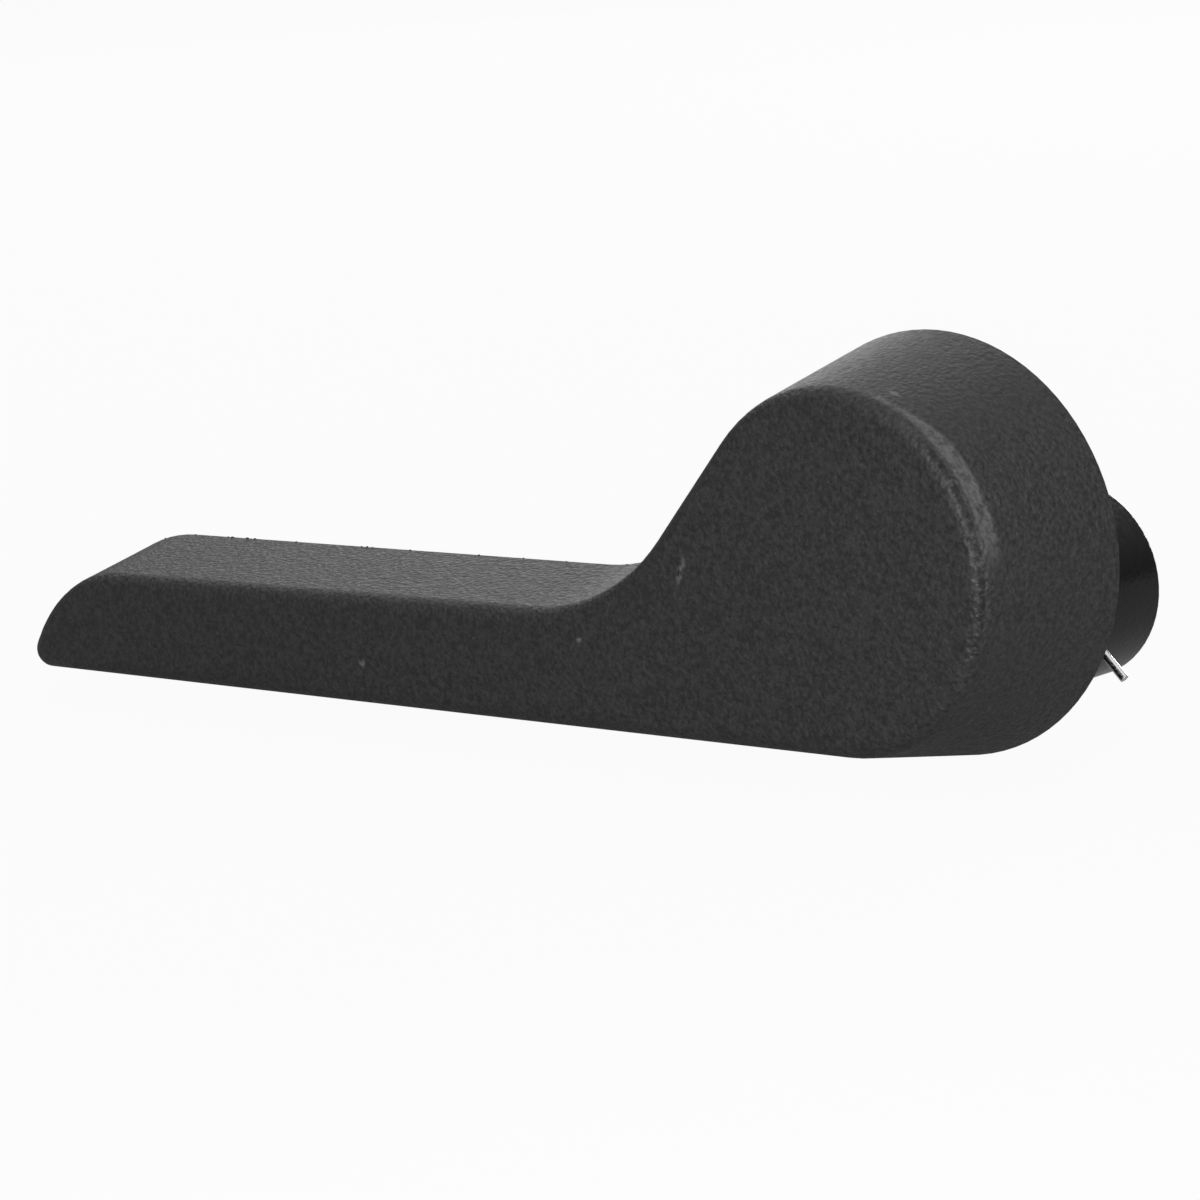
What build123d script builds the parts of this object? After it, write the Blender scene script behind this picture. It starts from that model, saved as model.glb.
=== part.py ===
from build123d import *
from math import asin, ceil, cos, degrees, radians, sin, sqrt, tan
import os

# Seat recliner lever: a moulded handle with a long paddle, a tapered round head and an
# off-centre tubular boss behind it, and the wire clip that holds the handle on its shaft.
# Lengths are in millimetres. The lever is built standing on its socket's mouth, with z
# running up from the mouth to the front face, and is turned over to its own frame at the end:
# +Y out of the socket's mouth, -X to the paddle's tip, +Z up.

# Front outline, at the front face
head_radius = 23.4
paddle_height = 15.7
paddle_taper = 0.6
paddle_reach = 150.4
flank_angle = 48.6
throat_radius = 31.0
tip_radius = 21.0
tip_corner_radius = 2.2
front_fillet = 2.4

# The head's centre in front view, from the boss's axis
head_offset_x = -2.6
head_offset_z = 8.95

# Depths, drafts and walls
draft = 10.5
head_depth = 23.0
paddle_depth = 17.0
front_wall = 2.8
side_wall = 2.6
ring_wall = 2.9
rib_thickness = 1.6
rib_pitch = 15.5
rib_recess = 1.2
head_rib_count = 9
head_rib_step = 30.0
head_rib_first = -30.0
head_rib_recess = 2.5

# Boss and the socket for the recliner's shaft
boss_length = 48.4
boss_radius = 13.0
boss_edge_fillet = 0.6
boss_wall = 2.5
boss_core_depth = 42.0
web_count = 6
web_thickness = 1.8
web_turn = 15.0
pilot_radius = 5.1
pilot_length = 10.5
neck_radius = 4.7
neck_end = 14.5
socket_depth = 28.0
socket_wall = 2.4
spline_teeth = 24
spline_tooth_height = 0.45

# Wire clip, lying across the boss
wire_diameter = 1.2
clip_height = 13.1
clip_leg_offset = 4.5
clip_turn = -45.0
clip_bend_radius = 1.4
clip_seat_gap = 0.3
clip_tail = 6.0
clip_short_tail = 0.5
tunnel_clearance = 0.05

# Derived places
head_centre = (head_offset_x, head_offset_z)
front_z = boss_length
paddle_back_z = front_z - paddle_depth
head_back_z = front_z - head_depth
cavity_top_z = front_z - front_wall
slope = tan(radians(draft))
wall_in_plan = side_wall / cos(radians(draft))
ring_in_plan = ring_wall / cos(radians(draft))
overshoot = 1.0
far = 3 * paddle_reach
low_centre = (Align.CENTER, Align.CENTER, Align.MIN)


def polar(centre, radius, angle):
    """The point at radius and angle in degrees from centre."""
    return (centre[0] + radius * cos(radians(angle)), centre[1] + radius * sin(radians(angle)))


def outline(grow):
    """Face of the lever's front outline, with every side moved outward by grow."""
    head_r = head_radius + grow
    throat_r = throat_radius - grow
    tip_r = tip_radius + grow
    corner_r = tip_corner_radius + grow
    bottom = -head_r
    flank_out = polar((0, 0), 1, 90 + flank_angle)
    top_out = polar((0, 0), 1, 90 + paddle_taper)
    top_reach = (paddle_height - head_radius) * top_out[1] + grow
    cross = top_out[0] * flank_out[1] - top_out[1] * flank_out[0]
    throat_x = ((top_reach + throat_r) * flank_out[1] - top_out[1] * (head_r + throat_r)) / cross
    throat_y = (top_out[0] * (head_r + throat_r) - flank_out[0] * (top_reach + throat_r)) / cross
    throat = (throat_x, throat_y)
    corner = (corner_r - paddle_reach - grow, bottom + corner_r)
    drop = top_out[0] * corner[0] + top_out[1] * corner[1] - top_reach + tip_r
    tip_turn = paddle_taper - degrees(asin(drop / (tip_r - corner_r)))
    tip = polar(corner, tip_r - corner_r, tip_turn)
    flank_start = polar((0, 0), head_r, 90 + flank_angle)
    flank_end = polar(throat, throat_r, flank_angle - 90)
    top_start = polar(throat, throat_r, paddle_taper - 90)
    top_end = polar(tip, tip_r, paddle_taper + 90)
    tip_end = polar(tip, tip_r, tip_turn + 180)
    sides = [
        Line((corner[0], bottom), (0, bottom)),
        ThreePointArc((0, bottom), (head_r, 0), flank_start),
        Line(flank_start, flank_end),
        ThreePointArc(flank_end, polar(throat, throat_r, (flank_angle + paddle_taper) / 2 - 90), top_start),
        Line(top_start, top_end),
        ThreePointArc(top_end, polar(tip, tip_r, 135 + (paddle_taper + tip_turn) / 2), tip_end),
        ThreePointArc(tip_end, polar(corner, corner_r, 225 + tip_turn / 2), (corner[0], bottom)),
    ]
    return Pos(*head_centre) * make_face(Curve() + sides)


def outline_prism(inset, low_z, high_z):
    """Drafted prism of the outline between two heights, inset in plan from the outer skin."""
    grow = (front_z - low_z) * slope - inset
    return extrude(Pos(0, 0, low_z) * outline(grow), high_z - low_z, taper=draft)


def head_cone(inset, low_z, high_z):
    """Drafted drum of the head between two heights, inset in plan from the outer skin."""
    low_r = head_radius + (front_z - low_z) * slope - inset
    high_r = head_radius + (front_z - high_z) * slope - inset
    return Pos(*head_centre, low_z) * Cone(low_r, high_r, high_z - low_z, align=low_centre)


def column(radius, low_z, high_z):
    """Cylinder on the boss's axis between two heights."""
    return Pos(0, 0, low_z) * Cylinder(radius, high_z - low_z, align=low_centre)


def shell():
    """Front wall and side walls, open at the back, with the head's ring wall standing right round."""
    skin = outline_prism(0, head_back_z, front_z)
    front_edges = skin.faces().sort_by(Axis.Z)[-1].edges()
    skin = fillet(front_edges, min(front_fillet, 1.1 * tip_corner_radius))
    step = head_depth - paddle_depth + overshoot
    behind_paddle = Pos(0, 0, head_back_z - overshoot) * Box(far, far, step, align=low_centre)
    paddle_room = behind_paddle + outline_prism(wall_in_plan, paddle_back_z - overshoot, cavity_top_z)
    paddle_room -= head_cone(wall_in_plan - ring_in_plan, head_back_z - 2 * overshoot, front_z)
    head_room = head_cone(wall_in_plan, head_back_z - overshoot, cavity_top_z)
    return skin - paddle_room - head_room


def paddle_ribs():
    """Cross ribs between the paddle's top and bottom walls, evenly spaced from head to tip."""
    right = head_offset_x - head_radius * sin(radians(flank_angle))
    left = head_offset_x - paddle_reach + side_wall
    bays = ceil((right - left) / rib_pitch)
    low_z = paddle_back_z + rib_recess
    room = outline_prism(wall_in_plan / 2, low_z, front_z - front_wall / 2)
    room -= head_cone(wall_in_plan / 2, low_z - overshoot, front_z)
    slabs = []
    for i in range(1, bays):
        x = left + (right - left) * i / bays
        slabs.append(Pos(x, 0, 0) * Box(rib_thickness, far, far))
    return Part() + slabs & room


def head_ribs():
    """Ribs from the boss out to the head's ring wall, over the wide side of the gap."""
    room = head_cone(wall_in_plan / 2, head_back_z + head_rib_recess, front_z - front_wall / 2)
    slabs = []
    for i in range(head_rib_count):
        turn = Rot(0, 0, head_rib_first + head_rib_step * i)
        slabs.append(turn * Pos(far / 2, 0, 0) * Box(far, rib_thickness, far))
    return Part() + slabs & room


def boss():
    """Plain round tube, still solid inside."""
    tube = column(boss_radius, 0, front_z - front_wall / 2)
    return fillet(tube.edges().sort_by(Axis.Z)[:1], boss_edge_fillet)


def boss_cores():
    """Pockets between the boss's outer wall and its socket tube, with webs left between them."""
    ring = column(boss_radius - boss_wall, -overshoot, boss_core_depth)
    ring -= column(pilot_radius + socket_wall, -2 * overshoot, boss_core_depth + overshoot)
    for i in range(web_count):
        turn = Rot(0, 0, web_turn + 360 * i / web_count)
        ring -= turn * Pos(far / 2, 0, 0) * Box(far, web_thickness, far)
    return ring


def socket():
    """Room for the shaft: a round pilot, a neck that the clip crosses, and a serrated blind end."""
    pilot = column(pilot_radius, -overshoot, pilot_length)
    neck = column(neck_radius, 0, neck_end)
    star = []
    for i in range(2 * spline_teeth):
        radius = neck_radius - spline_tooth_height * (i % 2)
        star.append(polar((0, 0), radius, 180 * i / spline_teeth))
    section = Pos(0, 0, neck_end - overshoot) * Polygon(*star, align=None)
    return pilot + neck + extrude(section, socket_depth - neck_end + overshoot)


def clip_tunnels():
    """Two straight round holes through the boss for the clip's legs."""
    hole = Cylinder(wire_diameter / 2 + tunnel_clearance, far, rotation=(0, 90, 0))
    place = Rot(0, 0, clip_turn)
    upper = place * Pos(0, clip_leg_offset, clip_height) * hole
    lower = place * Pos(0, -clip_leg_offset, clip_height) * hole
    return upper + lower


def lever_handle():
    """The whole moulding."""
    body = shell() + paddle_ribs() + head_ribs() + boss()
    return body - boss_cores() - socket() - clip_tunnels()


def retaining_clip():
    """Squared wire clip: a long and a short leg joined by a cross bar that seats on the boss."""
    bar = -(boss_radius + clip_seat_gap + wire_diameter / 2)
    exit_reach = sqrt(boss_radius ** 2 - clip_leg_offset ** 2)
    long_end = exit_reach + clip_tail
    short_end = exit_reach + clip_short_tail
    route = [
        (long_end, clip_leg_offset, clip_height),
        (bar, clip_leg_offset, clip_height),
        (bar, -clip_leg_offset, clip_height),
        (short_end, -clip_leg_offset, clip_height),
    ]
    path = FilletPolyline(*route, radius=clip_bend_radius)
    section = Plane(origin=path @ 0, z_dir=path % 0) * Circle(wire_diameter / 2)
    return Rot(0, 0, clip_turn) * sweep(section, path=path)


os.makedirs("parts", exist_ok=True)
to_frame = Rot(90, 0, 0)
for name, piece in (("lever_handle", lever_handle()), ("retaining_clip", retaining_clip())):
    export_step(to_frame * piece, "parts/" + name + ".step")
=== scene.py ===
import math

import bmesh
import bpy
from mathutils import Matrix, Vector


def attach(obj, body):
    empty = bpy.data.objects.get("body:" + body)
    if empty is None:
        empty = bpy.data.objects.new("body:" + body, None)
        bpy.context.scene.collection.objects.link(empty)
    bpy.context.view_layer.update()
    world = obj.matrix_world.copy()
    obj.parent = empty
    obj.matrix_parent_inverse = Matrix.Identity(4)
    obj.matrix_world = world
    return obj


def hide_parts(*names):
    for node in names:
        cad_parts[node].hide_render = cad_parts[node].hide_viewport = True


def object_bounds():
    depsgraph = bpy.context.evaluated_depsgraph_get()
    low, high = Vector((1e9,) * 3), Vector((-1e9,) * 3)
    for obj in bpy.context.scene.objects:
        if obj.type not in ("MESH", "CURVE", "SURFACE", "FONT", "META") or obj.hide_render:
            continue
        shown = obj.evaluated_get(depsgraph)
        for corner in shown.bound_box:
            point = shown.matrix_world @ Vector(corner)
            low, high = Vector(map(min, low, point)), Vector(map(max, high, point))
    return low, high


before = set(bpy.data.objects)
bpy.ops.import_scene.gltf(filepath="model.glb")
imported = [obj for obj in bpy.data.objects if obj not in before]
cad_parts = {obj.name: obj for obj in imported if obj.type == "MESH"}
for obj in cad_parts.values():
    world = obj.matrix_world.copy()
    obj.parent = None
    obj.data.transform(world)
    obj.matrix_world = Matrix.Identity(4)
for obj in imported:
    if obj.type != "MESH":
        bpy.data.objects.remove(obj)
cad_low, cad_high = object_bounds()


# The lever itself: one hollow injection moulding in black glass-filled nylon. Its outside
# is spark grained, the boss that the shaft enters is smoother, and the open back is the
# plain side that was drawn off the cores.
MM = 0.001
FRONT_Y = -48.4 * MM
RIM_Y = -25.4 * MM
HEAD_X = -2.6 * MM
HEAD_Z = 8.95 * MM
BOSS_R = 13.0 * MM
SKIN_BLACK = (0.010, 0.010, 0.0102, 1.0)
SKIN_PALE = (0.032, 0.032, 0.0322, 1.0)
BOSS_BLACK = (0.003, 0.003, 0.0031, 1.0)
CORE_BLACK = (0.026, 0.026, 0.0264, 1.0)
# a pale grey for real scuffs, also used for a painted highlight along the head's front edge
SCUFF_AND_HIGHLIGHT_GREY = (0.115, 0.115, 0.116, 1.0)
# a near black painted as a dark line inside the head's edge band: painted shade, a painted dark reflection
PAINTED_DARK_REFLECTION_BLACK = (0.001, 0.001, 0.001, 1.0)
NYLON_IOR = 1.38
GRAIN_DEPTH = 0.17 * MM
WELD_GAP = 0.002 * MM
CREASE_ANGLE = math.radians(28)


def join_up(tree, source, target):
    tree.links.new(source, target)


def add_node(tree, kind, **settings):
    node = tree.nodes.new(kind)
    for name, value in settings.items():
        setattr(node, name, value)
    return node


def maths(tree, operation, first, second=None, clamp=False):
    node = add_node(tree, "ShaderNodeMath", operation=operation, use_clamp=clamp)
    for socket, value in zip(node.inputs, (first, second)):
        if value is None:
            continue
        if isinstance(value, (int, float)):
            socket.default_value = value
        else:
            join_up(tree, value, socket)
    return node.outputs[0]


def times(tree, first, *others):
    for other in others:
        first = maths(tree, "MULTIPLY", first, other)
    return first


def remap(tree, value, low, high, to_low=0.0, to_high=1.0):
    node = add_node(tree, "ShaderNodeMapRange", clamp=True, interpolation_type="SMOOTHSTEP")
    join_up(tree, value, node.inputs["Value"])
    node.inputs["From Min"].default_value = low
    node.inputs["From Max"].default_value = high
    node.inputs["To Min"].default_value = to_low
    node.inputs["To Max"].default_value = to_high
    return node.outputs["Result"]


def blend_colour(tree, factor, first, second):
    node = add_node(tree, "ShaderNodeMix", data_type="RGBA")
    join_up(tree, factor, node.inputs["Factor"])
    for socket, value in zip([s for s in node.inputs if s.type == "RGBA"], (first, second)):
        if isinstance(value, tuple):
            socket.default_value = value
        else:
            join_up(tree, value, socket)
    return [s for s in node.outputs if s.type == "RGBA"][0]


def noise(tree, place, scale, detail=3.0, roughness=0.5):
    node = add_node(tree, "ShaderNodeTexNoise")
    join_up(tree, place, node.inputs["Vector"])
    node.inputs["Scale"].default_value = scale
    node.inputs["Detail"].default_value = detail
    node.inputs["Roughness"].default_value = roughness
    return node.outputs["Fac"]


def face_share(tree, name):
    node = add_node(tree, "ShaderNodeAttribute", attribute_type="GEOMETRY", attribute_name=name)
    return node.outputs["Fac"]


def rubbed_spot(tree, place, centre, half_size, turn=0.0):
    """Mask of one soft scuff: 1 at its centre, 0 outside its half sizes."""
    moved = add_node(tree, "ShaderNodeMapping", vector_type="TEXTURE")
    join_up(tree, place, moved.inputs["Vector"])
    moved.inputs["Location"].default_value = centre
    moved.inputs["Rotation"].default_value = (0.0, turn, 0.0)
    moved.inputs["Scale"].default_value = half_size
    reach = add_node(tree, "ShaderNodeVectorMath", operation="LENGTH")
    join_up(tree, moved.outputs["Vector"], reach.inputs[0])
    return remap(tree, reach.outputs["Value"], 1.0, 0.25)


def moulded_black(name):
    material = bpy.data.materials.new(name)
    material.use_nodes = True
    tree = material.node_tree
    tree.nodes.clear()
    shader = add_node(tree, "ShaderNodeBsdfPrincipled")
    output = add_node(tree, "ShaderNodeOutputMaterial")
    join_up(tree, shader.outputs["BSDF"], output.inputs["Surface"])
    shader.inputs["IOR"].default_value = NYLON_IOR
    place = add_node(tree, "ShaderNodeTexCoord").outputs["Object"]
    axes = add_node(tree, "ShaderNodeSeparateXYZ")
    join_up(tree, place, axes.inputs[0])
    skin = face_share(tree, "grained_skin")
    on_boss = face_share(tree, "smooth_boss")

    # spark grain: rounded pits about half a millimetre across with a finer tooth over them
    pits = add_node(tree, "ShaderNodeTexVoronoi", feature="SMOOTH_F1")
    join_up(tree, place, pits.inputs["Vector"])
    pits.inputs["Scale"].default_value = 1500.0
    pits.inputs["Smoothness"].default_value = 0.5
    tooth = noise(tree, place, 2600.0, 3.0, 0.6)
    waves = noise(tree, place, 800.0, 3.0, 0.6)
    grain = maths(tree, "ADD", times(tree, pits.outputs["Distance"], 0.8), times(tree, tooth, 0.5))
    grain = maths(tree, "ADD", grain, times(tree, waves, 0.7))
    depth = maths(tree, "ADD", times(tree, skin, 0.85), 0.15)
    relief = add_node(tree, "ShaderNodeBump")
    relief.inputs["Distance"].default_value = GRAIN_DEPTH
    relief.inputs["Strength"].default_value = 1.0
    join_up(tree, times(tree, grain, depth), relief.inputs["Height"])
    join_up(tree, relief.outputs["Normal"], shader.inputs["Normal"])

    # colour: uneven nylon black, deeper on the boss and in the back
    specks = noise(tree, place, 1500.0, 5.0, 0.7)
    colour = blend_colour(tree, remap(tree, specks, 0.30, 0.72), SKIN_BLACK, SKIN_PALE)
    colour = blend_colour(tree, skin, CORE_BLACK, colour)
    colour = blend_colour(tree, on_boss, colour, BOSS_BLACK)

    # the head's front edge is pale from the top round to the right, partly rubbed wear and partly a painted
    # highlight, and just inside that band a dark line is painted shade, a painted dark reflection
    from_x = maths(tree, "SUBTRACT", axes.outputs["X"], HEAD_X)
    from_z = maths(tree, "SUBTRACT", axes.outputs["Z"], HEAD_Z)
    squared = maths(tree, "ADD", times(tree, from_x, from_x), times(tree, from_z, from_z))
    from_centre = maths(tree, "SQRT", squared)
    climb = maths(tree, "DIVIDE", from_z, maths(tree, "MAXIMUM", from_centre, 1.0 * MM))
    on_right = times(tree, remap(tree, from_x, 0.0, 2.0 * MM), remap(tree, from_centre, 21.5 * MM, 22.3 * MM))
    narrowing = remap(tree, climb, 0.70, 0.92, 0.0, 1.5 * MM)
    back = maths(tree, "ADD", axes.outputs["Y"], narrowing)
    streaks = noise(tree, place, 900.0, 4.0, 0.7)
    # the pale band: rubbed wear and a painted highlight
    edge_wear_and_highlight = times(tree, on_right, remap(tree, axes.outputs["Y"], -47.2 * MM, -46.6 * MM),
                     remap(tree, back, -44.2 * MM, -45.0 * MM),
                     remap(tree, climb, 0.02, 0.30), remap(tree, climb, 0.985, 0.95),
                     remap(tree, streaks, 0.34, 0.60, 0.20, 1.1))
    # the dark line inside the band is a painted dark reflection, painted shade
    painted_dark_reflection = times(tree, on_right, remap(tree, axes.outputs["Y"], -48.15 * MM, -47.8 * MM),
                 remap(tree, axes.outputs["Y"], -47.2 * MM, -47.55 * MM),
                 remap(tree, climb, -0.45, -0.15), remap(tree, climb, 0.82, 0.66),
                 remap(tree, streaks, 0.35, 0.6, 0.25, 1.0))
    colour = blend_colour(tree, times(tree, painted_dark_reflection, 0.9), colour, PAINTED_DARK_REFLECTION_BLACK)

    # small scuffs over the band and on the front, as the photograph shows them
    rubs = [
        ((5.9 * MM, -44.2 * MM, 31.6 * MM), (1.6 * MM, 0.7 * MM, 0.9 * MM), 0.0),
        ((-27.3 * MM, FRONT_Y, 7.9 * MM), (0.8 * MM, 2.0 * MM, 2.5 * MM), math.radians(20)),
        ((-85.9 * MM, FRONT_Y, -8.8 * MM), (0.9 * MM, 2.0 * MM, 0.8 * MM), 0.0),
        ((-45.6 * MM, FRONT_Y, -2.6 * MM), (0.8 * MM, 2.0 * MM, 0.5 * MM), 0.0),
    ]
    scuffs_and_highlight = None
    for centre, half_size, turn in rubs:
        spot = rubbed_spot(tree, place, centre, half_size, turn)
        scuffs_and_highlight = spot if scuffs_and_highlight is None else maths(tree, "MAXIMUM", scuffs_and_highlight, spot)
    scuffs_and_highlight = times(tree, scuffs_and_highlight, remap(tree, noise(tree, place, 1500.0), 0.30, 0.62), 0.75)
    # the pale edge band, rubbed wear and a painted highlight, joins the scuffs here
    scuffs_and_highlight = maths(tree, "MAXIMUM", scuffs_and_highlight, times(tree, edge_wear_and_highlight, 0.55))
    colour = blend_colour(tree, scuffs_and_highlight, colour, SCUFF_AND_HIGHLIGHT_GREY)
    join_up(tree, colour, shader.inputs["Base Color"])

    dullness = remap(tree, noise(tree, place, 1200.0), 0.3, 0.7, 0.38, 0.50)
    dullness = maths(tree, "SUBTRACT", dullness, times(tree, on_boss, 0.26))
    # the painted dark reflection line is also made rougher
    dullness = maths(tree, "ADD", dullness, times(tree, painted_dark_reflection, 0.3))
    join_up(tree, dullness, shader.inputs["Roughness"])
    return material


def mark_finishes(mesh):
    """Writes on every face whether it is grained skin or the smooth boss; the rest is the cores' side."""
    skin = mesh.attributes.new("grained_skin", "FLOAT", "FACE")
    boss = mesh.attributes.new("smooth_boss", "FLOAT", "FACE")
    for face in mesh.polygons:
        x, y, z = face.center
        out_x, out_y, out_z = face.normal
        leans_forward = out_y < -0.05 and y < RIM_Y + 0.1 * MM
        radius = math.hypot(x, z)
        outward = (x * out_x + z * out_z) / max(radius, 1e-9)
        skin.data[face.index].value = 1.0 if leans_forward else 0.0
        on_wall = radius > BOSS_R - 0.7 * MM and radius < BOSS_R + 0.1 * MM and outward > 0.3
        boss.data[face.index].value = 1.0 if on_wall and not leans_forward else 0.0


moulding_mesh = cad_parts["lever_handle"].data.copy()
moulding_mesh.name = "lever_moulding"
merged = bmesh.new()
merged.from_mesh(moulding_mesh)
bmesh.ops.remove_doubles(merged, verts=merged.verts, dist=WELD_GAP)
merged.to_mesh(moulding_mesh)
merged.free()
if "custom_normal" in moulding_mesh.attributes:
    moulding_mesh.attributes.remove(moulding_mesh.attributes["custom_normal"])
mark_finishes(moulding_mesh)
moulding_mesh.shade_smooth()
moulding_mesh.set_sharp_from_angle(angle=CREASE_ANGLE)
moulding_mesh.materials.clear()
moulding_mesh.materials.append(moulded_black("grained_black_nylon"))
moulding = bpy.data.objects.new("lever_moulding", moulding_mesh)
bpy.context.scene.collection.objects.link(moulding)
evened = moulding.modifiers.new("evened_shading", "WEIGHTED_NORMAL")
evened.keep_sharp = True
evened.weight = 60
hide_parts("lever_handle")
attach(moulding, "handle")


# Flash crumbs: scraps of nylon left standing along the parting line at the back of the
# paddle's upper edge, where the mould's two halves met. They are one with the moulding.
CRUMB_SIZE = 0.14 * MM
CRUMB_SEED = 7
CRUMB_RAGGEDNESS = 0.2 * MM
CRUMB_PLACES_X = (-141.0, -134.5, -127.8, -126.9, -123.9, -122.3, -114.0, -101.0, -99.9, -98.9, -91.6, -78.6,
                  -70.2, -62.4, -51.5, -44.0)
PADDLE_EDGE_Y = -31.45
PADDLE_EDGE_Z = 4.40
PADDLE_EDGE_RISE = 0.01047
TIP_FROM_X = -134.48
TIP_ARC = 24.15
THROAT_FROM_X = -54.77
THROAT_ARC = 27.85


def edge_place(x):
    """The place on the edge at x in mm: straight along the paddle, curved at the tip and in the throat."""
    height = PADDLE_EDGE_Z + PADDLE_EDGE_RISE * x
    if x < TIP_FROM_X:
        height -= TIP_ARC - math.sqrt(TIP_ARC ** 2 - (TIP_FROM_X - x) ** 2)
    elif x > THROAT_FROM_X:
        height += THROAT_ARC - math.sqrt(THROAT_ARC ** 2 - (x - THROAT_FROM_X) ** 2)
    return (x * MM, PADDLE_EDGE_Y * MM, height * MM)


def new_flow(name):
    flow = bpy.data.node_groups.new(name, "GeometryNodeTree")
    flow.is_modifier = True
    flow.interface.new_socket("Geometry", in_out="INPUT", socket_type="NodeSocketGeometry")
    flow.interface.new_socket("Geometry", in_out="OUTPUT", socket_type="NodeSocketGeometry")
    return flow


def named_input(flow, name, kind, value):
    socket = flow.interface.new_socket(name, in_out="INPUT", socket_type=kind)
    socket.default_value = value
    return socket.identifier


def run_flow(obj, flow, values):
    """Runs the flow on the object with its inputs set, and leaves the result as a plain mesh."""
    step = obj.modifiers.new(flow.name, "NODES")
    step.node_group = flow
    for identifier, value in values.items():
        step[identifier] = value
    grown = obj.evaluated_get(bpy.context.evaluated_depsgraph_get())
    mesh = bpy.data.meshes.new_from_object(grown)
    obj.modifiers.remove(step)
    obj.data = mesh
    mesh.name = obj.name


def crumb_flow(material):
    flow = new_flow("flash_crumbs_flow")
    size_id = named_input(flow, "Crumb size", "NodeSocketFloat", CRUMB_SIZE)
    seed_id = named_input(flow, "Seed", "NodeSocketInt", CRUMB_SEED)
    start = add_node(flow, "NodeGroupInput")
    end = add_node(flow, "NodeGroupOutput")
    lump = add_node(flow, "GeometryNodeMeshIcoSphere")
    lump.inputs["Radius"].default_value = 1.0
    lump.inputs["Subdivisions"].default_value = 2
    shape = add_node(flow, "FunctionNodeRandomValue", data_type="FLOAT_VECTOR")
    shape.inputs[0].default_value = (0.9, 0.6, 0.5)
    shape.inputs[1].default_value = (2.2, 1.1, 1.2)
    tilt = add_node(flow, "FunctionNodeRandomValue", data_type="FLOAT_VECTOR")
    tilt.inputs[0].default_value = (-0.3, -0.3, -0.5)
    tilt.inputs[1].default_value = (0.3, 0.3, 0.5)
    join_up(flow, start.outputs["Seed"], shape.inputs["Seed"])
    join_up(flow, start.outputs["Seed"], tilt.inputs["Seed"])
    grow = add_node(flow, "ShaderNodeVectorMath", operation="SCALE")
    join_up(flow, shape.outputs[0], grow.inputs[0])
    join_up(flow, start.outputs["Crumb size"], grow.inputs["Scale"])
    place = add_node(flow, "GeometryNodeInstanceOnPoints")
    join_up(flow, start.outputs["Geometry"], place.inputs["Points"])
    join_up(flow, lump.outputs["Mesh"], place.inputs["Instance"])
    join_up(flow, grow.outputs[0], place.inputs["Scale"])
    join_up(flow, tilt.outputs[0], place.inputs["Rotation"])
    real = add_node(flow, "GeometryNodeRealizeInstances")
    join_up(flow, place.outputs[0], real.inputs[0])
    ragged = add_node(flow, "ShaderNodeTexNoise")
    ragged.inputs["Scale"].default_value = 6000.0
    centred = add_node(flow, "ShaderNodeVectorMath", operation="SUBTRACT")
    centred.inputs[1].default_value = (0.5, 0.5, 0.5)
    join_up(flow, ragged.outputs["Color"], centred.inputs[0])
    push = add_node(flow, "ShaderNodeVectorMath", operation="SCALE")
    push.inputs["Scale"].default_value = CRUMB_RAGGEDNESS
    join_up(flow, centred.outputs[0], push.inputs[0])
    shift = add_node(flow, "GeometryNodeSetPosition")
    join_up(flow, real.outputs[0], shift.inputs["Geometry"])
    join_up(flow, push.outputs[0], shift.inputs["Offset"])
    coat = add_node(flow, "GeometryNodeSetMaterial")
    coat.inputs["Material"].default_value = material
    join_up(flow, shift.outputs[0], coat.inputs["Geometry"])
    join_up(flow, coat.outputs[0], end.inputs[0])
    return flow, size_id, seed_id


def torn_black(name):
    material = bpy.data.materials.new(name)
    material.use_nodes = True
    tree = material.node_tree
    shader = tree.nodes["Principled BSDF"]
    place = add_node(tree, "ShaderNodeTexCoord").outputs["Object"]
    flecks = noise(tree, place, 5000.0, 3.0, 0.6)
    join_up(tree, blend_colour(tree, flecks, (0.008, 0.008, 0.008, 1.0), (0.024, 0.024, 0.024, 1.0)),
            shader.inputs["Base Color"])
    join_up(tree, remap(tree, flecks, 0.3, 0.7, 0.5, 0.7), shader.inputs["Roughness"])
    shader.inputs["IOR"].default_value = NYLON_IOR
    return material


crumb_mesh = bpy.data.meshes.new("flash_crumbs_places")
crumb_mesh.from_pydata([edge_place(x) for x in CRUMB_PLACES_X], [], [])
crumbs = bpy.data.objects.new("flash_crumbs", crumb_mesh)
bpy.context.scene.collection.objects.link(crumbs)
flow, size_id, seed_id = crumb_flow(torn_black("torn_black_nylon"))
run_flow(crumbs, flow, {size_id: CRUMB_SIZE, seed_id: CRUMB_SEED})
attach(crumbs, "handle")


# The clip: hard drawn spring wire of 1.2 mm, bent into a square hook. Its two legs run
# through the boss and across the shaft's groove, and the long one stands out past the boss.
WIRE_DIAMETER = 1.2 * MM
BEND_RADIUS = 1.4 * MM
SHEARED_EDGE = 0.1 * MM
CLIP_Y = -13.1 * MM
LEG_OFFSET = 4.5 * MM
LONG_END = 18.197 * MM
SHORT_END = 12.697 * MM
BAR = -13.9 * MM
LEAN = math.radians(45)


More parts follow.
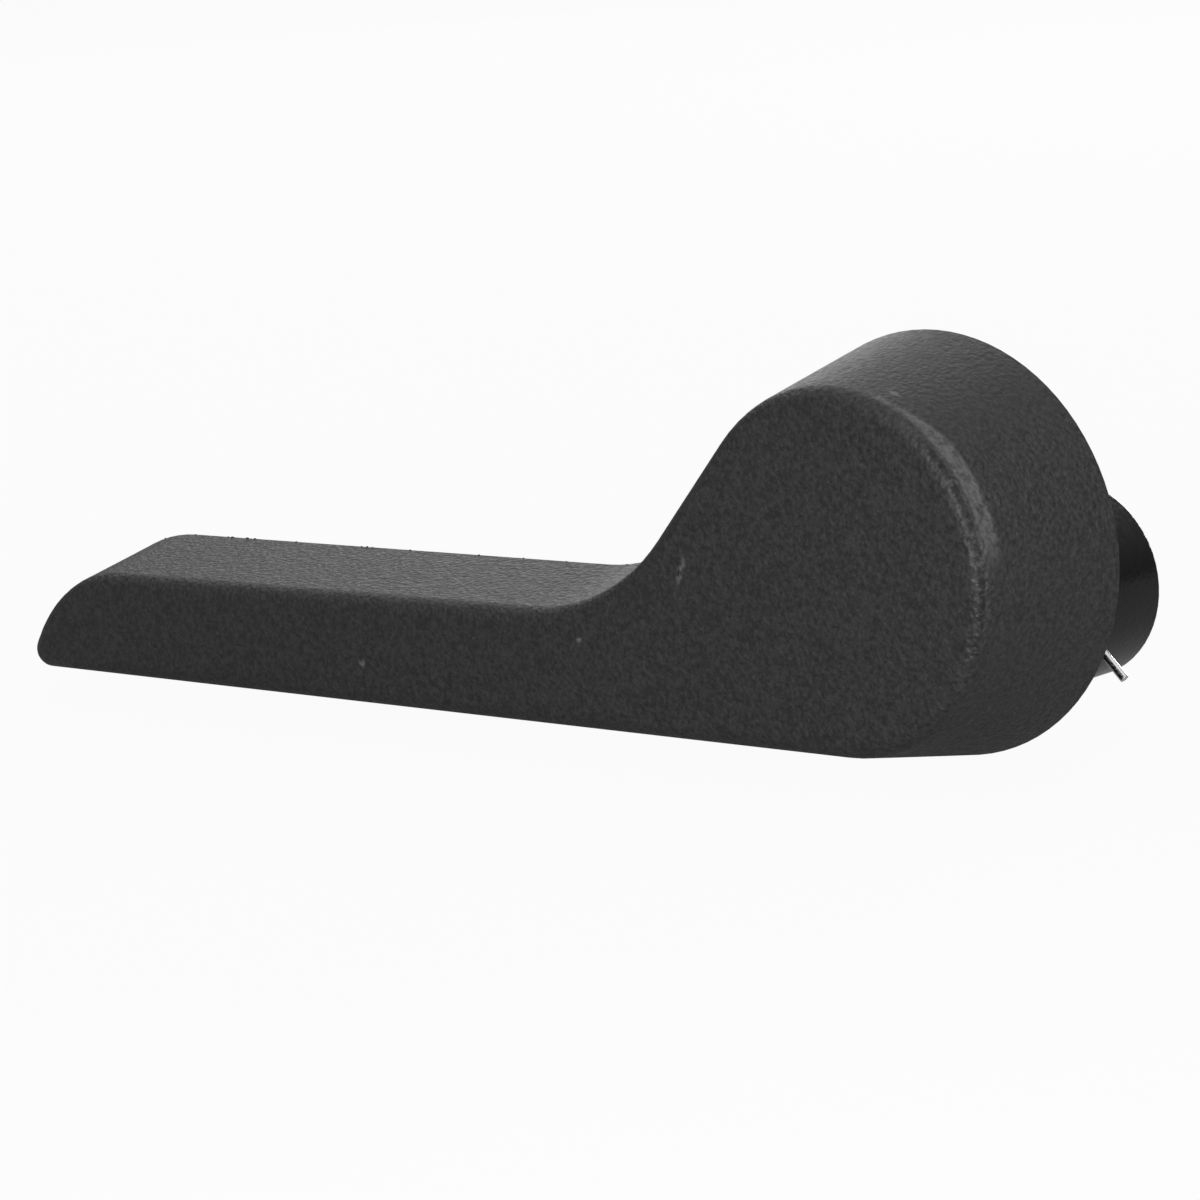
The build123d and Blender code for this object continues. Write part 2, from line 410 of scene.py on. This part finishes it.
def wire_flow(material):
    flow = new_flow("bent_wire_flow")
    diameter_id = named_input(flow, "Wire diameter", "NodeSocketFloat", WIRE_DIAMETER)
    bend_id = named_input(flow, "Bend radius", "NodeSocketFloat", BEND_RADIUS)
    start = add_node(flow, "NodeGroupInput")
    end = add_node(flow, "NodeGroupOutput")
    route = add_node(flow, "GeometryNodeMeshToCurve")
    join_up(flow, start.outputs["Geometry"], route.inputs[0])
    bend = add_node(flow, "GeometryNodeFilletCurve", mode="POLY")
    bend.inputs["Count"].default_value = 12
    join_up(flow, route.outputs[0], bend.inputs["Curve"])
    join_up(flow, start.outputs["Bend radius"], bend.inputs["Radius"])
    spread = add_node(flow, "GeometryNodeSplineParameter")
    measured = add_node(flow, "GeometryNodeStoreNamedAttribute", data_type="FLOAT", domain="POINT")
    measured.inputs["Name"].default_value = "drawn_length"
    join_up(flow, bend.outputs[0], measured.inputs["Geometry"])
    join_up(flow, spread.outputs["Length"], measured.inputs["Value"])
    circle = add_node(flow, "GeometryNodeCurvePrimitiveCircle", mode="RADIUS")
    circle.inputs["Resolution"].default_value = 28
    half = add_node(flow, "ShaderNodeMath", operation="MULTIPLY")
    half.inputs[1].default_value = 0.5
    join_up(flow, start.outputs["Wire diameter"], half.inputs[0])
    join_up(flow, half.outputs[0], circle.inputs["Radius"])
    skin = add_node(flow, "GeometryNodeCurveToMesh")
    skin.inputs["Fill Caps"].default_value = True
    join_up(flow, measured.outputs[0], skin.inputs["Curve"])
    join_up(flow, circle.outputs["Curve"], skin.inputs["Profile Curve"])
    real = add_node(flow, "GeometryNodeRealizeInstances")
    join_up(flow, skin.outputs[0], real.inputs[0])
    coat = add_node(flow, "GeometryNodeSetMaterial")
    coat.inputs["Material"].default_value = material
    join_up(flow, real.outputs[0], coat.inputs["Geometry"])
    join_up(flow, coat.outputs[0], end.inputs[0])
    return flow, diameter_id, bend_id


def drawn_wire(name):
    material = bpy.data.materials.new(name)
    material.use_nodes = True
    tree = material.node_tree
    shader = tree.nodes["Principled BSDF"]
    shader.inputs["Metallic"].default_value = 1.0
    place = add_node(tree, "ShaderNodeTexCoord").outputs["Object"]
    drawn = noise(tree, place, 3000.0, 2.0, 0.5)
    along = times(tree, face_share(tree, "drawn_length"), 260.0)
    stained = add_node(tree, "ShaderNodeTexNoise", noise_dimensions="1D")
    join_up(tree, along, stained.inputs["W"])
    tint = blend_colour(tree, remap(tree, stained.outputs["Fac"], 0.35, 0.7),
                        (0.80, 0.80, 0.81, 1.0), (0.70, 0.69, 0.68, 1.0))
    join_up(tree, tint, shader.inputs["Base Color"])
    join_up(tree, remap(tree, drawn, 0.3, 0.7, 0.16, 0.28), shader.inputs["Roughness"])
    return material


def across_boss(along_leg, beside):
    return (along_leg * math.cos(LEAN) + beside * math.sin(LEAN), CLIP_Y,
            beside * math.cos(LEAN) - along_leg * math.sin(LEAN))


clip_mesh = bpy.data.meshes.new("clip_route")
clip_mesh.from_pydata(
    [across_boss(LONG_END, LEG_OFFSET), across_boss(BAR, LEG_OFFSET),
     across_boss(BAR, -LEG_OFFSET), across_boss(SHORT_END, -LEG_OFFSET)],
    [(0, 1), (1, 2), (2, 3)], [])
clip = bpy.data.objects.new("bent_wire_clip", clip_mesh)
bpy.context.scene.collection.objects.link(clip)
flow, diameter_id, bend_id = wire_flow(drawn_wire("bright_spring_wire"))
run_flow(clip, flow, {diameter_id: WIRE_DIAMETER, bend_id: BEND_RADIUS})
clip.data.shade_smooth()
clip.data.set_sharp_from_angle(angle=math.radians(40))
sheared = clip.modifiers.new("sheared_ends", "BEVEL")
sheared.limit_method = "ANGLE"
sheared.angle_limit = math.radians(60)
sheared.width = SHEARED_EDGE
sheared.segments = 2
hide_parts("retaining_clip")
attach(clip, "clip")


# The floor that the lever is photographed on: a plain sweep of matt paper. It is white to
# the camera, keeps the lever's shadow, and throws little light up at the underside.
FLOOR_REACH = 4.0
FLOOR_GREY = (0.32, 0.32, 0.32, 1.0)
WHITE_TO_CAMERA = 0.95
WHITE_IN_MIRRORS = 0.10

floor_mesh = bpy.data.meshes.new("floor")
floor_z = cad_low[2] - 0.1 * MM
floor_mesh.from_pydata(
    [(-FLOOR_REACH, -FLOOR_REACH, floor_z), (FLOOR_REACH, -FLOOR_REACH, floor_z),
     (FLOOR_REACH, FLOOR_REACH, floor_z), (-FLOOR_REACH, FLOOR_REACH, floor_z)],
    [], [(0, 1, 2, 3)])
floor = bpy.data.objects.new("floor", floor_mesh)
bpy.context.scene.collection.objects.link(floor)
paper = bpy.data.materials.new("white_sweep")
paper.use_nodes = True
paper_tree = paper.node_tree
paper_tree.nodes.clear()
matt = add_node(paper_tree, "ShaderNodeBsdfDiffuse")
matt.inputs["Color"].default_value = FLOOR_GREY
glow = add_node(paper_tree, "ShaderNodeEmission")
glow.inputs["Color"].default_value = (1.0, 1.0, 1.0, 1.0)
seen = add_node(paper_tree, "ShaderNodeLightPath")
mixed = add_node(paper_tree, "ShaderNodeMixShader")
ends = add_node(paper_tree, "ShaderNodeOutputMaterial")
mirrored = maths(paper_tree, "MAXIMUM", seen.outputs["Is Glossy Ray"], seen.outputs["Is Transmission Ray"])
shown = maths(paper_tree, "MAXIMUM", times(paper_tree, seen.outputs["Is Camera Ray"], WHITE_TO_CAMERA),
              times(paper_tree, mirrored, WHITE_IN_MIRRORS))
join_up(paper_tree, shown, mixed.inputs[0])
join_up(paper_tree, matt.outputs[0], mixed.inputs[1])
join_up(paper_tree, glow.outputs[0], mixed.inputs[2])
join_up(paper_tree, mixed.outputs[0], ends.inputs["Surface"])
floor_mesh.materials.append(paper)


# Soft studio light: a room that is pale above on the right in front and dim low behind, a
# low panel in front on the right, a big and a low one behind on the left, and one straight
# behind, which lights the open back.
ROOM_BRIGHT_SIDE = (0.40, -0.45, 0.80)
ROOM_WHITE = (0.96, 0.96, 0.96, 1.0)
ROOM_IN_MIRRORS = 0.05
PANELS_FACE = Vector((-0.03, -0.03, 0.0))

room = bpy.data.worlds.new("pale_room")
bpy.context.scene.world = room
room.use_nodes = True
room_tree = room.node_tree
backdrop = room_tree.nodes["Background"]
compass = add_node(room_tree, "ShaderNodeTexCoord")
towards_light = add_node(room_tree, "ShaderNodeVectorMath", operation="DOT_PRODUCT")
join_up(room_tree, compass.outputs["Generated"], towards_light.inputs[0])
towards_light.inputs[1].default_value = ROOM_BRIGHT_SIDE
wall = remap(room_tree, towards_light.outputs["Value"], -0.2, 1.0, 0.10, 0.95)
looking = add_node(room_tree, "ShaderNodeLightPath")
mirrored_room = maths(room_tree, "MAXIMUM", looking.outputs["Is Glossy Ray"],
                      looking.outputs["Is Transmission Ray"])
whitened = maths(room_tree, "MAXIMUM", looking.outputs["Is Camera Ray"],
                 times(room_tree, mirrored_room, ROOM_IN_MIRRORS))
join_up(room_tree, blend_colour(room_tree, whitened, wall, ROOM_WHITE), backdrop.inputs["Color"])


def soft_panel(name, place, size, power):
    light = bpy.data.lights.new(name, "AREA")
    light.shape = "DISK"
    light.size = size
    light.energy = power
    panel = bpy.data.objects.new(name, light)
    bpy.context.scene.collection.objects.link(panel)
    panel.location = place
    panel.rotation_mode = "QUATERNION"
    panel.rotation_quaternion = (Vector(place) - PANELS_FACE).to_track_quat("Z", "Y")


soft_panel("panel_low_right", (0.24, -0.29, 0.03), 0.30, 1.8)
soft_panel("panel_behind_left", (-0.88, 0.66, 0.98), 1.4, 4.6)
soft_panel("panel_low_behind", (-1.05, 1.05, 0.26), 0.44, 0.85)
soft_panel("panel_back", (-0.25, 1.20, 0.28), 0.60, 8.0)


# The camera, at the photograph's viewing angle: a long lens in front on the right and a
# little above, placed by fitting the lever's outline to the photograph's.
SENSOR_WIDTH = 36.0
PHOTO_WIDTH_PX = 1200.0
FOCAL_LENGTH_PX = 5000.0
CAMERA_PLACE = Vector((386.9030, -523.0062, 120.2440)) * MM

camera_data = bpy.data.cameras.new("camera")
camera_data.sensor_width = SENSOR_WIDTH
camera_data.lens = SENSOR_WIDTH * FOCAL_LENGTH_PX / PHOTO_WIDTH_PX
camera_data.clip_start = 0.01
camera_data.clip_end = 50.0
camera = bpy.data.objects.new("camera", camera_data)
bpy.context.scene.collection.objects.link(camera)
right = Vector((0.74889622, 0.65920339, -0.06786275))
up = Vector((-0.06930816, 0.17975645, 0.98126653))
ahead = Vector((-0.65905298, 0.73016335, -0.18030710))
turn = Matrix((right, up, -ahead)).transposed()
camera.matrix_world = Matrix.Translation(CAMERA_PLACE) @ turn.to_4x4()
bpy.context.scene.camera = camera

bpy.context.scene.view_settings.view_transform = "Standard"
